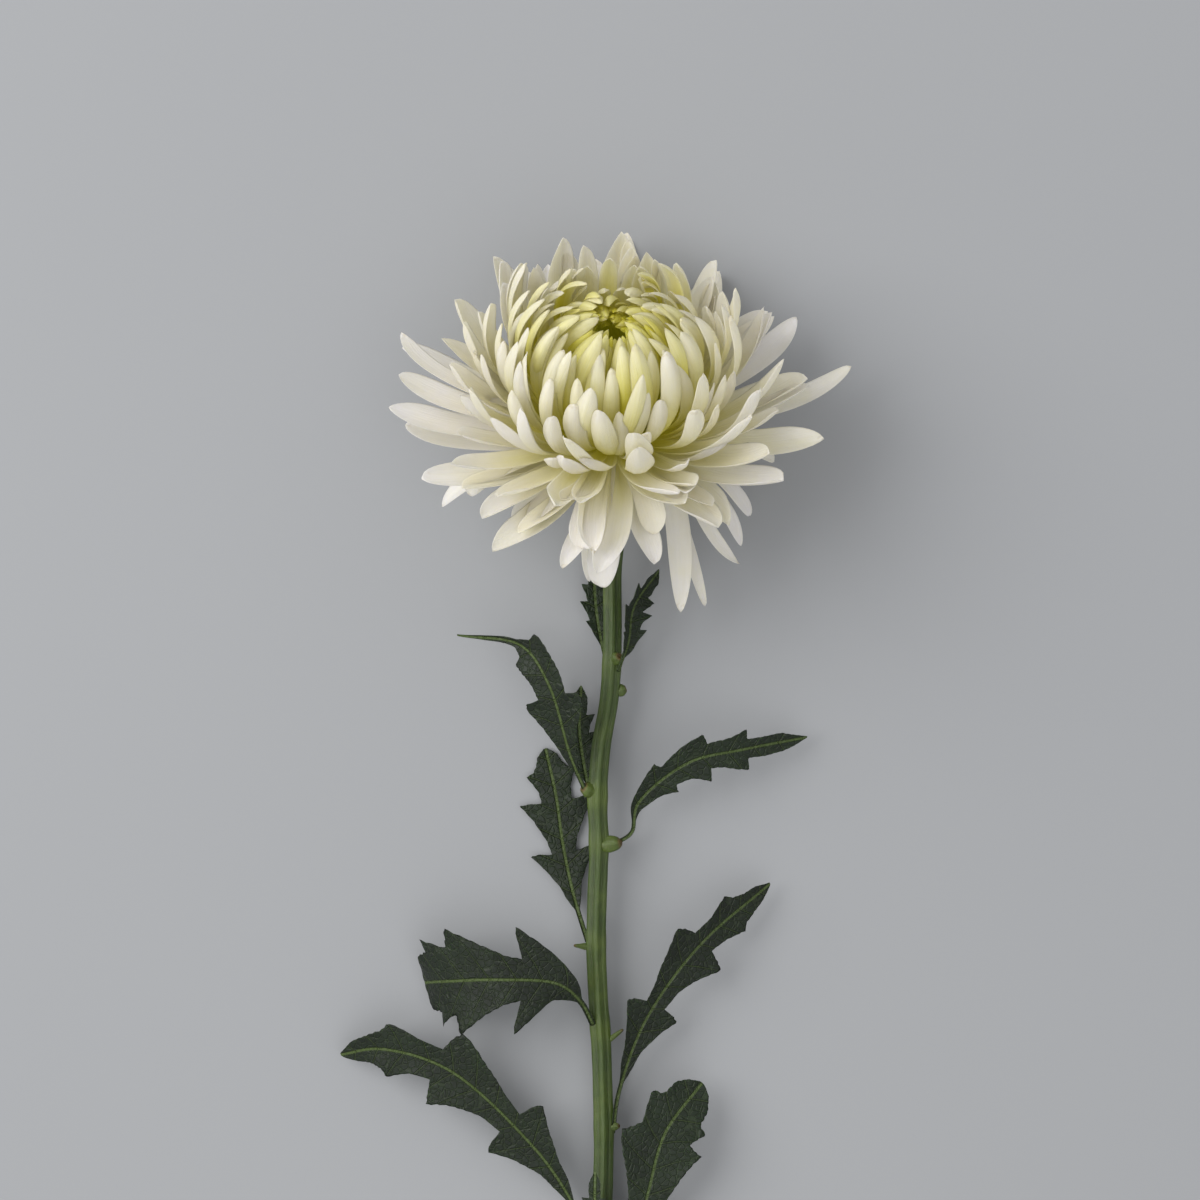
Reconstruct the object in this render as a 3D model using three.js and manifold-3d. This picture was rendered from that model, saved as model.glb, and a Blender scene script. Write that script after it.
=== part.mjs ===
// A cut disbud chrysanthemum laid on a surface: one large incurved bloom on a ribbed, leafy stem.
// Millimetres. +Z is up from the surface, +Y runs from the cut end to the bloom, +X is to the right.
import * as THREE from "three";
import { mergeVertices } from "three/addons/utils/BufferGeometryUtils.js";
import Module from "manifold-3d";

const wasm = await Module();
wasm.setup();

// Driving dimensions
const FOOTPRINT_CENTRE = [-1.8, -71.0]; // middle of the flower's outline on the surface, before it is centred
const BLOOM_CENTRE = [3.6, 46.2, 21.5]; // top of the receptacle's foot, where the ray florets spring
const BLOOM_TILT = 45; // degrees from the stem's line up towards the viewer
const STEM_RADIUS = 2.9;
const CUT_END = -246; // the stem's cut end, along Y
const PETAL_THICKNESS = 0.9;
const LEAF_THICKNESS = 0.7;
const GAP = 0.32; // between pieces that meet
const GOLDEN_ANGLE = 137.508;
const FLOOR_PRESS = 0.5; // how far a floret that meets the surface is pressed flat
const SLIVER = 0.09; // facets thinner than this are merged into their neighbours
const TOUCHING = 0.004; // corners nearer than this count as one point
const NOTCH = 0.4; // reach of the cut that parts them
const NOTCH_ROUNDS = 4;

const DEG = Math.PI / 180;
const vec = (x, y, z) => new THREE.Vector3(x, y, z);
const BLOOM = vec(...BLOOM_CENTRE);
const AXIS = vec(0, Math.cos(BLOOM_TILT * DEG), Math.sin(BLOOM_TILT * DEG));
const BACK = vec(0, Math.sin(BLOOM_TILT * DEG), -Math.cos(BLOOM_TILT * DEG));
const RIGHT = vec(1, 0, 0);

// A repeatable draw from -1 to 1: number k of piece i.
function draw(i, k) {
  const x = Math.sin(i * 12.9898 + k * 78.233 + 4.1) * 43758.5453;
  return 2 * (x - Math.floor(x)) - 1;
}

// Reads a list of evenly spaced values at t from 0 to 1, in straight lines.
function along(values, t) {
  const x = Math.min(Math.max(t, 0), 1) * (values.length - 1);
  const k = Math.min(Math.floor(x), values.length - 2);
  return values[k] + (values[k + 1] - values[k]) * (x - k);
}

// Solids

function manifoldOf(geometry) {
  const bare = geometry.clone();
  bare.deleteAttribute("normal");
  bare.deleteAttribute("uv");
  const merged = mergeVertices(bare, 1e-4);
  const triVerts = new Uint32Array(merged.index.array);
  const make = () =>
    new wasm.Manifold(
      new wasm.Mesh({ numProp: 3, vertProperties: merged.attributes.position.array, triVerts }),
    );
  const made = make();
  if (made.volume() > 0) return made;
  triVerts.reverse();
  return make();
}

function geometryOf(manifold) {
  const { vertProperties, triVerts } = manifold.getMesh();
  return new THREE.BufferGeometry()
    .setAttribute("position", new THREE.BufferAttribute(vertProperties, 3))
    .setIndex(new THREE.BufferAttribute(triVerts, 1));
}

// A closed skin over rings of equally many points, ending in a point where a tip is given.
// Both faces of a blade are split alike, so that they never cross.
function loft(rings, tip) {
  const n = rings[0].length;
  const points = tip ? [...rings.flat(), tip] : rings.flat();
  const faces = [];
  for (let k = 0; k < rings.length - 1; k++)
    for (let i = 0; i < n; i++) {
      const a = k * n + i;
      const b = k * n + ((i + 1) % n);
      if (i < n / 2) faces.push(a, b, b + n, a, b + n, a + n);
      else faces.push(a, b, a + n, b, b + n, a + n);
    }
  const last = (rings.length - 1) * n;
  for (let i = 0; i < n - 2; i++) faces.push(n - 1, i + 1, i);
  if (tip) for (let i = 0; i < n; i++) faces.push(last + i, last + ((i + 1) % n), last + n);
  else for (let i = 0; i < n - 2; i++) faces.push(last + n - 1, last + i, last + i + 1);
  const geometry = new THREE.BufferGeometry().setFromPoints(points);
  geometry.setIndex(faces);
  return manifoldOf(geometry);
}

// A solid of revolution about the bloom's axis, from [radius, height] points.
function turned(profile, sides) {
  const outline = profile.map(([r, h]) => new THREE.Vector2(r, h));
  const geometry = new THREE.LatheGeometry(outline, sides);
  const place = new THREE.Matrix4().makeBasis(RIGHT, AXIS, BACK.clone().negate());
  geometry.applyMatrix4(place.setPosition(BLOOM));
  return manifoldOf(geometry);
}

// Cuts a small notch wherever two corners of a skin fall on one point, so that it nowhere touches itself.
function notched(manifold) {
  const { vertProperties } = manifold.getMesh();
  const seen = new Set();
  const notches = [];
  for (let i = 0; i < vertProperties.length; i += 3) {
    const place = [...vertProperties.slice(i, i + 3)];
    const key = place.map((x) => Math.round(x / TOUCHING)).join(" ");
    if (seen.has(key)) notches.push(new THREE.OctahedronGeometry(NOTCH).rotateX(0.4).rotateY(0.7).translate(...place));
    seen.add(key);
  }
  return notches.length ? manifold.subtract(wasm.Manifold.union(notches.map(manifoldOf))) : manifold;
}

// The largest body of a solid, without loose scraps, sealed hollows or slivers.
function mainBody(manifold) {
  let whole = manifold.asOriginal().simplify(SLIVER);
  for (let k = 0; k < NOTCH_ROUNDS; k++) whole = notched(whole).asOriginal().simplify(SLIVER / 2);
  const bodies = whole.decompose();
  return bodies.reduce((a, b) => (b.volume() > a.volume() ? b : a));
}

// Ray florets

const STATIONS = { long: [0, 0.34, 0.66, 0.92], short: [0, 0.44, 0.74, 0.93] };
const PATH_STEPS = 40;
const WIDEST_AT = 0.74;
const FOOT_SHARE = 0.36; // width at the foot, as a share of the greatest

// Share of the greatest width at s: a sine swell from the foot, then a round tip.
function petalSwell(s) {
  if (s < WIDEST_AT) return FOOT_SHARE + (1 - FOOT_SHARE) * Math.sin((Math.PI / 2) * (s / WIDEST_AT));
  return Math.sqrt(Math.max(0, 1 - ((s - WIDEST_AT) / (1 - WIDEST_AT)) ** 2));
}

// One floret as a channelled blade on a path of {point, side, inner}, cupped towards its inner face.
function petal(path, stations, width, cup) {
  const ring = (s) => {
    const { point, side, inner } = path(s);
    const half = (width * petalSwell(s)) / 2;
    const rim = inner.clone().multiplyScalar(cup * half * 2);
    const left = point.clone().addScaledVector(side, -half).add(rim);
    const right = point.clone().addScaledVector(side, half).add(rim);
    const below = point.clone().addScaledVector(inner, -PETAL_THICKNESS / 2);
    const above = point.clone().addScaledVector(inner, PETAL_THICKNESS / 2);
    const corners = [left, below, right, above];
    const low = Math.min(...corners.map((p) => p.z));
    if (low < -FLOOR_PRESS) corners.forEach((p) => (p.z -= low + FLOOR_PRESS));
    return corners;
  };
  const tip = path(1).point.clone();
  tip.z = Math.max(tip.z, PETAL_THICKNESS / 2);
  return loft(stations.map(ring), tip);
}

// The path of a floret that follows the bloom's rule. It leaves the axis at an angle that turns from
// start to end as the share of its length to a power, in a half plane that swings sideways by drift.
function rulePath({ azimuth, start, end, bend, length, radius, height, drift, twist }) {
  const points = [];
  let r = radius;
  let h = height;
  for (let k = 0; k <= PATH_STEPS; k++) {
    const s = k / PATH_STEPS;
    const angle = azimuth + drift * s * s;
    const radial = RIGHT.clone()
      .multiplyScalar(Math.cos(angle))
      .addScaledVector(BACK, Math.sin(angle));
    const lift = start + (end - start) * s ** bend;
    const tangent = radial.clone().multiplyScalar(Math.cos(lift)).addScaledVector(AXIS, Math.sin(lift));
    const inner = radial.clone().multiplyScalar(-Math.sin(lift)).addScaledVector(AXIS, Math.cos(lift));
    const point = BLOOM.clone().addScaledVector(radial, r).addScaledVector(AXIS, h);
    const side = tangent.clone().cross(inner);
    const roll = twist * s * s;
    points.push({
      point,
      side: side.clone().multiplyScalar(Math.cos(roll)).addScaledVector(inner, Math.sin(roll)),
      inner: inner.clone().multiplyScalar(Math.cos(roll)).addScaledVector(side, -Math.sin(roll)),
    });
    const middle = start + (end - start) * ((k + 0.5) / PATH_STEPS) ** bend;
    r += (length / PATH_STEPS) * Math.cos(middle);
    h += (length / PATH_STEPS) * Math.sin(middle);
  }
  return (s) => points[Math.round(s * PATH_STEPS)];
}

// Two families of florets, each read from its innermost, 0, to its outermost, 1. Angles in degrees.
const INNER = {
  count: 78,
  seed: 500,
  start: [84, 80, 74, 67, 60],
  end: [125, 156, 178, 186, 176],
  bend: [1.6, 2, 2.2, 2.3, 2.3],
  length: [13, 19, 27, 36, 45],
  width: [2.4, 3.2, 4, 4.8, 5.6],
  radius: [8, 9, 9.6, 9.8, 9.4],
  height: [26.5, 22.5, 18.5, 14, 9.6],
  cup: 0.28,
  crowd: 0,
  droop: [0, 0],
  trim: [0, 0],
  swirl: 16,
  jitter: { azimuth: 7, start: 3, end: 12, length: 0.07, width: 0.12, drift: 10, twist: 18 },
  stations: STATIONS.short,
};
const OUTER = {
  count: 99,
  seed: 0,
  start: [52, 41, 29, 17, 8],
  end: [166, 150, 124, 90, 50],
  bend: [2.2, 2, 1.8, 1.6, 1.4],
  length: [50, 52, 54, 55, 56],
  width: [5.2, 6.2, 7.4, 8.8, 10],
  radius: [8.2, 8.2, 8.2, 8, 7.6],
  height: [6.4, 5.4, 4.2, 2.8, 1.2],
  cup: 0.2,
  crowd: 0.34,
  droop: [10, 66],
  trim: [9, 3],
  swirl: 0,
  jitter: { azimuth: 8, start: 3, end: 18, length: 0.08, width: 0.14, drift: 11, twist: 24 },
  stations: STATIONS.long,
};

// The facts of floret i of a family. The outer ones crowd to the near side, and droop there and are shorter.
function ruleFacts(family, i) {
  const t = i / (family.count - 1);
  const n = i + family.seed;
  const { jitter } = family;
  const turn = i * GOLDEN_ANGLE * DEG;
  const azimuth = turn - family.crowd * t * Math.cos(turn) + draw(n, 0) * jitter.azimuth * DEG;
  const near = Math.max(0, -Math.sin(azimuth)) * t;
  const far = Math.max(0, Math.sin(azimuth));
  return {
    azimuth,
    start: (along(family.start, t) + draw(n, 1) * jitter.start - near * family.droop[0]) * DEG,
    end: (along(family.end, t) + draw(n, 2) * jitter.end - near * family.droop[1]) * DEG,
    bend: along(family.bend, t),
    length:
      (along(family.length, t) - near * family.trim[0] - far * family.trim[1]) *
      (1 + draw(n, 3) * jitter.length),
    radius: along(family.radius, t),
    height: along(family.height, t),
    drift: (family.swirl + draw(n, 4) * jitter.drift) * DEG,
    twist: draw(n, 5) * jitter.twist * DEG,
    width: along(family.width, t) * (1 + draw(n, 6) * jitter.width),
  };
}

function familyPetals(family) {
  return Array.from({ length: family.count }, (_, i) => {
    const facts = ruleFacts(family, i);
    return petal(rulePath(facts), family.stations, facts.width, family.cup);
  });
}

// Florets of the rim that hang, hook or reach past the rule: two guide points and the tip, from the
// bloom's centre, and the width.
const STRAYS = [
  { guides: [[-25, 8, 6], [-56, 15, 14]], tip: [-58.8, 28.3, 17], width: 6 },
  { guides: [[-25, 3, 8], [-50, 8, 14]], tip: [-59.6, 16.5, 18], width: 9 },
  { guides: [[-25, 0, 7], [-48, 0, 12]], tip: [-62.4, 7.6, 15], width: 10 },
  { guides: [[-24, -3, 6], [-45, -4, 8]], tip: [-58, 3, 9], width: 10 },
  { guides: [[-25, -6, 10], [-40, -10, 9]], tip: [-48, -20, 4], width: 6 },
  { guides: [[-20, -5, 14], [-34, -8, 18]], tip: [-40, -17, 15], width: 9 },
  { guides: [[-10, -10, 16], [-20, -20, 26]], tip: [-27.5, -25.5, 25], width: 10 },
  { guides: [[-3, -12, 17], [-7, -26, 30]], tip: [-8, -32, 28], width: 10.5 },
  { guides: [[0, -14, 14], [-2, -32, 23]], tip: [-3.5, -42.5, 16], width: 9 },
  { guides: [[-3, -14, 11], [-7, -28, 15]], tip: [-6.5, -41, 9], width: 5 },
  { guides: [[6, -10, 16], [12, -22, 28]], tip: [11, -28, 27], width: 8 },
  { guides: [[14, -4, 10], [20, -20, 12]], tip: [19, -49.6, 3], width: 7 },
  { guides: [[16, -6, 7], [20, -30, 6]], tip: [26, -48, 1], width: 3.6 },
  { guides: [[20, -6, 8], [26, -32, 8]], tip: [35.5, -36, 4], width: 4 },
  { guides: [[22, -6, 6], [32, -18, 6]], tip: [36, -31, 1], width: 4.5 },
  { guides: [[22, -3, 6], [34, -14, 5]], tip: [38.5, -22.5, 0], width: 5.5 },
  { guides: [[20, 2, 5], [34, 2, 6]], tip: [45.4, -7.3, 2], width: 9.5 },
  { guides: [[28, 4, 1], [54, 6, -1]], tip: [67, 19.5, 3], width: 7 },
  { guides: [[2, 20, -12], [3, 42, -22]], tip: [3.4, 58, -22], width: 8 },
  { guides: [[12, 17, -11], [26, 34, -25]], tip: [30.5, 47.6, -18], width: 11 },
  { guides: [[-11, 16, -11], [-21, 30, -25]], tip: [-29, 42, -19], width: 10 },
  { guides: [[22, 10, -3], [44, 18, -9]], tip: [52, 34, -8], width: 9 },
];
const STRAY_ROOT = 7; // distance of a stray's root from the axis
const STRAY_CUP = 0.12;

function strayPath({ guides, tip }) {
  const [near, far, end] = [...guides, tip].map((p) => BLOOM.clone().add(vec(...p)));
  const out = near.clone().sub(BLOOM);
  out.addScaledVector(AXIS, -out.dot(AXIS)).normalize();
  const root = BLOOM.clone().addScaledVector(out, STRAY_ROOT).addScaledVector(AXIS, 2);
  const curve = new THREE.CubicBezierCurve3(root, near, far, end);
  return (s) => {
    const point = curve.getPoint(s);
    const tangent = curve.getTangent(s);
    const inner = AXIS.clone().addScaledVector(tangent, -AXIS.dot(tangent)).normalize();
    return { point, inner, side: tangent.clone().cross(inner) };
  };
}

const strayPetals = () =>
  STRAYS.map((stray) => petal(strayPath(stray), STATIONS.long, stray.width, STRAY_CUP));

// The bloom: receptacle with its white florets, the greenish incurved florets, and the green heart

const RECEPTACLE = [[0, -1], [6.4, -1], [9.4, 1.2], [13, 3.4], [13.5, 6], [11.5, 7.7], [0, 7.8]];
const INNER_CORE = [
  [0, 8.15], [9.3, 8.15], [11.4, 12], [11.8, 20], [10.6, 26], [8.4, 29], [6.9, 27.5], [6.9, 20], [0, 20],
];
const HEART_CORE = [[0, 20.35], [6.3, 20.35], [6.4, 24], [5, 27], [2.5, 28.6], [0, 29]];
const CORE_SIDES = 14;
const ENVELOPE_SIDES = 26;
// The bun that the inner florets keep within, as the path of a floret between the two families.
const BUN = { start: 57, end: 168, bend: 2.2, length: 54, radius: 9.8, height: 8 };
const BUN_STEPS = 9;
const BUN_TOP = 60;

// The bun's outline, grown by an offset.
function bunProfile(offset) {
  const outline = [[0, BUN.height - offset]];
  let r = BUN.radius;
  let h = BUN.height;
  for (let k = 0; k <= BUN_STEPS; k++) {
    const lift = (BUN.start + (BUN.end - BUN.start) * (k / BUN_STEPS) ** BUN.bend) * DEG;
    outline.push([r + offset * Math.sin(lift), h - offset * Math.cos(lift)]);
    r += (BUN.length / BUN_STEPS) * Math.cos(lift);
    h += (BUN.length / BUN_STEPS) * Math.sin(lift);
  }
  outline.push([0, BUN_TOP + offset]);
  return outline;
}

const HEART_SPIKES = 19;
const HEART_REACH = 6.2;

// Unopened florets of the heart: short spikes set in a sunflower spiral on a dome.
function heartSpike(i) {
  const share = Math.sqrt((i + 0.5) / HEART_SPIKES);
  const angle = i * GOLDEN_ANGLE * DEG;
  const radial = RIGHT.clone().multiplyScalar(Math.cos(angle)).addScaledVector(BACK, Math.sin(angle));
  const side = AXIS.clone().cross(radial);
  const at = (r, h) => BLOOM.clone().addScaledVector(radial, r).addScaledVector(AXIS, h);
  const r = HEART_REACH * share - 0.9;
  const foot = 28 - 4 * share * share;
  const ring = (h, size) => [
    at(r + size, h),
    at(r, h).addScaledVector(side, size),
    at(r - size, h),
    at(r, h).addScaledVector(side, -size),
  ];
  return loft([ring(foot - 2, 0.7), ring(foot + 2.4, 0.8)], at(r * 0.8, foot + 4.2));
}

const FLOOR_SLAB = manifoldOf(
  new THREE.BoxGeometry(400, 600, 40).translate(0, 0, -20),
);

function bloomSolids() {
  const outside = turned(bunProfile(GAP), ENVELOPE_SIDES);
  const inside = turned(bunProfile(0), ENVELOPE_SIDES);
  const pocket = turned([[0, 19.9], [6.9, 19.9], [6.9, 27], [5.4, 34], [0, 36]], ENVELOPE_SIDES);
  const white = wasm.Manifold.union([
    turned(RECEPTACLE, CORE_SIDES),
    ...familyPetals(OUTER),
    ...strayPetals(),
  ]);
  const green = wasm.Manifold.union([turned(INNER_CORE, CORE_SIDES), ...familyPetals(INNER)]);
  const heart = wasm.Manifold.union([
    turned(HEART_CORE, CORE_SIDES),
    ...Array.from({ length: HEART_SPIKES }, (_, i) => heartSpike(i)),
  ]);
  return {
    outer_florets: mainBody(white.subtract(outside).subtract(FLOOR_SLAB)),
    inner_florets: mainBody(green.intersect(inside).subtract(pocket)),
    heart_florets: mainBody(heart),
  };
}

// Green cup of bracts under the bloom
const BRACTS = 11;
const CUP_FOOT = -8;
const CUP = [[0, CUP_FOOT], [3.3, CUP_FOOT], [5.4, -6.6], [8, -3.6], [8.6, -1.35], [0, -1.35]];

function bract(i) {
  const angle = ((i + 0.5) / BRACTS) * 2 * Math.PI;
  const path = rulePath({
    azimuth: angle, start: 20 * DEG, end: 52 * DEG, bend: 1, length: 7.6,
    radius: 6, height: -5.6, drift: 0, twist: 0,
  });
  return petal(path, [0, 0.55, 0.9], 5.2, 0.1);
}

function cupSolid() {
  const receptacle = turned(
    [[0, -1.35], [6.6, -1.35], [9.7, 0.8], [13.4, 3], [13.4, 12], [0, 12]],
    ENVELOPE_SIDES,
  );
  const bracts = Array.from({ length: BRACTS }, (_, i) => bract(i));
  return mainBody(wasm.Manifold.union([turned(CUP, CORE_SIDES), ...bracts]).subtract(receptacle));
}

// The stem: a six-ribbed rod that leans from node to node, with the marks of the pinched side buds
const RIBS = 6;
const RIB_DEPTH = 0.08;
const NECK = -8 - GAP - 0.05; // where the stem starts under the cup, along the bloom's axis
const STEM_LOW = STEM_RADIUS * (1 + RIB_DEPTH) - 0.15; // the cut end lies on the surface
const STEM_FALL = 0.033;
const stemHeight = (y) => STEM_LOW + (y - CUT_END) * STEM_FALL;
const STEM_WAY = [
  [4.4, 27], [4.6, 20], [3.6, 8.4], [3.5, -14], [2.6, -28], [0.3, -42], [-0.7, -56], [-0.3, -70],
  [-0.8, -84], [-1.1, -98], [-0.6, -112], [0.3, -126], [0.8, -140], [1.1, -154], [0.8, -168],
  [0, -196], [0.6, -224], [1.7, CUT_END],
];
const STEM_STEPS = 34;

function stemCurve() {
  const neck = [NECK, NECK - 5].map((h) => BLOOM.clone().addScaledVector(AXIS, h));
  const way = STEM_WAY.map(([x, y]) => vec(x, y, stemHeight(y)));
  return new THREE.CatmullRomCurve3([...neck, ...way], false, "centripetal");
}

// A ribbed rod along the stem's curve, wider by an extra all round.
function rod(extra) {
  const curve = stemCurve();
  const rings = Array.from({ length: STEM_STEPS + 1 }, (_, k) => {
    const s = k / STEM_STEPS;
    const centre = curve.getPointAt(s);
    const tangent = curve.getTangentAt(s);
    const side = tangent.clone().cross(vec(0, 0, 1)).normalize();
    const up = side.clone().cross(tangent);
    const taper = 0.9 + 0.14 * s;
    return Array.from({ length: 2 * RIBS }, (_, i) => {
      const angle = (i / RIBS) * Math.PI;
      const r = (STEM_RADIUS * (1 + (i % 2 ? RIB_DEPTH : -RIB_DEPTH)) + extra) * taper;
      return centre
        .clone()
        .addScaledVector(side, r * Math.cos(angle))
        .addScaledVector(up, r * Math.sin(angle));
    });
  });
  return loft(rings);
}

// A round knob or stub: rings of six points from a foot along a direction.
function knob(foot, direction, sizes, step) {
  const along = vec(...direction).normalize();
  const side = along.clone().cross(vec(0.1, 0.2, 1)).normalize();
  const up = side.clone().cross(along);
  const rings = sizes.map((size, k) =>
    Array.from({ length: 6 }, (_, i) =>
      vec(...foot)
        .addScaledVector(along, k * step)
        .addScaledVector(side, size * Math.cos((i / 3) * Math.PI))
        .addScaledVector(up, size * Math.sin((i / 3) * Math.PI)),
    ),
  );
  return loft(rings);
}

// Stubs left by the pinched side buds and small bracts: foot, direction, ring sizes and their spacing.
const KNOBS = [
  [[3.8, -17, 11.8], [0.9, 0.5, 1], [1.7, 1.8, 1.2], 1.6],
  [[-2, -54.6, 10.0], [-1, 0.55, 0.5], [2, 2.2, 1.7], 1.9],
  [[1, -69.6, 9.8], [1, 0.15, 0.3], [2, 2.3, 2, 1.3], 1.9],
  [[5, -26, 10.3], [0.8, 0.3, 0], [1.6, 1.7, 1], 1.4],
  [[-3, -98.6, 8.7], [-1, 0.1, 0.2], [1, 0.9, 0.6, 0.5], 1.6],
  [[2, -125.6, 7.7], [0.9, 0.7, 0.3], [0.8, 0.7, 0.6, 0.5], 2.1],
  [[3, -150, 7.1], [1, 0.2, 0.4], [1.2, 1.1, 0.7], 1.5],
  [[-2, -119, 8.6], [-0.9, 0.8, 0.4], [0.9, 0.8, 0.5], 1.6],
  [[1.6, -189, 6.1], [0.3, 0.5, 1], [1.5, 1.5, 1], 1.5],
  [[2, -205, 5.8], [0.6, 0.5, 0.6], [1.6, 1.6, 1.1], 1.5],
];

const stemSolid = () =>
  mainBody(wasm.Manifold.union([rod(0), ...KNOBS.map((k) => knob(...k))]).subtract(FLOOR_SLAB));
const stemClearance = () => wasm.Manifold.union([rod(GAP * 1.3), ...KNOBS.map(([foot, way, sizes, step]) =>
  knob(foot, way, [...sizes.map((s) => s + GAP * 1.2), sizes.at(-1) * 0.7], step + 0.12))]);

// Leaves. Half widths along the midrib, as shares of the leaf's half width: lobes, sinuses and teeth
const MARGINS = {
  lobed: [
    [0, 0.07], [0.17, 0.07], [0.22, 0.22], [0.27, 0.3], [0.33, 0.6], [0.37, 0.94], [0.4, 0.7], [0.43, 0.34],
    [0.49, 0.42], [0.56, 0.72], [0.61, 1.05], [0.64, 0.82], [0.68, 0.42], [0.74, 0.46], [0.8, 0.7],
    [0.83, 0.5], [0.88, 0.36], [0.93, 0.28], [1, 0.03],
  ],
  slim: [
    [0, 0.08], [0.14, 0.08], [0.2, 0.3], [0.27, 0.5], [0.33, 0.8], [0.36, 0.5], [0.42, 0.66], [0.5, 1.04],
    [0.54, 0.54], [0.6, 0.6], [0.68, 0.88], [0.71, 0.4], [0.78, 0.42], [0.86, 0.4], [0.93, 0.22], [1, 0.03],
  ],
  broad: [
    [0, 0.06], [0.14, 0.06], [0.18, 0.2], [0.23, 0.34], [0.28, 0.66], [0.34, 1.04], [0.37, 0.78],
    [0.4, 0.4], [0.46, 0.46], [0.54, 0.7], [0.62, 1.04], [0.66, 0.82], [0.7, 0.64], [0.77, 0.86],
    [0.81, 0.6], [0.88, 0.54], [0.94, 0.34], [1, 0.03],
  ],
  tailed: [
    [0, 0.08], [0.12, 0.08], [0.2, 0.3], [0.28, 0.58], [0.34, 1], [0.38, 0.96], [0.42, 0.5], [0.5, 0.56],
    [0.58, 0.62], [0.63, 0.66], [0.66, 0.34], [0.72, 0.14], [0.86, 0.09], [1, 0.03],
  ],
};
const VEIN_ANGLE = 56; // side veins lean forward from the midrib by this many degrees

// Each leaf: its midrib from the stem out, its greatest width, its margins, how far the right margin's
// width is from the left's, the roll of its face from the upward, and how far its margins rise.
const LEAVES = {
  leaf_1: { rib: [[5.2, -20.5, 12.5], [8, -12, 16.0], [9.6, -2, 17.0], [16.8, 8.6, 13.5]], width: 14, margin: "slim", roll: 48, rise: 0.3 },
  leaf_2: { rib: [[1.4, -17, 7.8], [-0.4, -8, 5.8], [-1.4, 0, 5.0], [-2, 12, 5.4]], width: 10, margin: "slim", roll: 8, rise: 0.1 },
  leaf_3: { rib: [[-3.4, -56, 11.0], [-8.4, -44, 16.0], [-14.4, -24, 21.0], [-22, -13, 19.0], [-40.6, -10, 10.0]], width: 21, margin: "tailed", roll: -28, rise: 0.12 },
  leaf_4: { rib: [[-2.6, -57, 7.4], [-4.6, -47, 5.2], [-5.9, -37, 4.6], [-5.4, -24.4, 4.4]], width: 12, margin: "slim", roll: 0, rise: 0.1 },
  leaf_5: { rib: [[-3.4, -97.6, 7.1], [-7.6, -84, 3.5], [-10.6, -70, 1.7], [-12.6, -56, 1.3], [-15.6, -42.4, 1.1]], width: 24, margin: "lobed", roll: 0, rise: 0.02 },
  leaf_6: { rib: [[3.6, -69.6, 10.2], [9, -66, 11.2], [10.6, -58, 12.8], [25, -46, 16.2], [40, -42.4, 14.2], [59, -39, 7.2]], width: 17, margin: "slim", roll: 24, rise: 0.1 },
  leaf_7: { rib: [[-1.8, -121, 9.4], [-5.4, -114, 13.0], [-12, -108.4, 18.0], [-28, -107, 21.0], [-44, -108, 14.0], [-50, -109, 5.0]], width: 35, margin: "broad", roll: -6, rise: 0.06 },
  leaf_8: { rib: [[3.6, -152, 7.7], [5.6, -139, 9.5], [13, -119, 12.9], [28, -98, 14.5], [48.4, -80.6, 7.5]], width: 22, margin: "lobed", roll: 26, rise: 0.1 },
  leaf_9: { rib: [[-0.6, -188, 6.7], [-9.8, -168, 9.1], [-20, -154, 11.6], [-43, -133, 14.1], [-62, -127.4, 11.1], [-74, -129.6, 4.1]], width: 27, margin: "lobed", roll: -14, rise: 0.08 },
  leaf_10: { rib: [[2.4, -205, 6.6], [8.6, -187, 10.0], [13.6, -168, 13.2], [18.4, -151, 14.4], [29, -137, 10.4]], width: 28, margin: "broad", roll: 12, rise: 0.1 },
  leaf_11: { rib: [[0.2, -190, 9.1], [-0.4, -182, 13.1], [-1.4, -172, 16.1], [-1.4, -161.6, 16.1]], width: 10, margin: "slim", roll: -20, rise: 0.1 },
};

// Reads a margin's [share, half width] list at s.
function marginAt(list, s) {
  const k = Math.max(1, list.findIndex(([at]) => at >= s));
  const [[a, low], [b, high]] = [list[k - 1], list[k]];
  return low + ((high - low) * (s - a)) / (b - a);
}

// A thin blade with a lobed margin on both sides of its midrib, in rings of six points.
function leafSolid({ rib, width, margin, roll, rise }) {
  const curve = new THREE.CatmullRomCurve3(rib.map((p) => vec(...p)), false, "centripetal");
  const length = curve.getLength();
  const list = MARGINS[margin];
  const spread = Math.sin(VEIN_ANGLE * DEG);
  const lean = Math.cos(VEIN_ANGLE * DEG) * (1 - rise);
  const frameAt = (s) => {
    const tangent = curve.getTangentAt(Math.min(s, 1));
    const side = tangent.clone().cross(vec(0, 0, 1)).normalize();
    const face = side.clone().cross(tangent);
    side.applyAxisAngle(tangent, roll * DEG);
    face.applyAxisAngle(tangent, roll * DEG);
    return { point: curve.getPointAt(Math.min(s, 1)), side, face };
  };
  const rings = list.map(([s]) => {
    const half = (marginAt(list, s) * width) / 2;
    const centre = frameAt(s);
    const ahead = frameAt(Math.min(1, s + (half * lean) / length));
    const edge = (hand) =>
      ahead.point
        .clone()
        .addScaledVector(ahead.side, hand * half * spread)
        .addScaledVector(ahead.face, half * rise);
    const [left, right, mid] = [edge(-1), edge(1), centre.point];
    const thick = (p, frame, hand) =>
      p.clone().addScaledVector(frame.face, (hand * LEAF_THICKNESS) / 2);
    const ring = [
      thick(left, ahead, -1), thick(mid, centre, -1.6), thick(right, ahead, -1),
      thick(right, ahead, 1), thick(mid, centre, 1), thick(left, ahead, 1),
    ];
    const low = Math.min(...ring.map((p) => p.z));
    if (low < 0) ring.forEach((p) => (p.z -= low));
    return ring;
  });
  return loft(rings);
}

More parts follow.
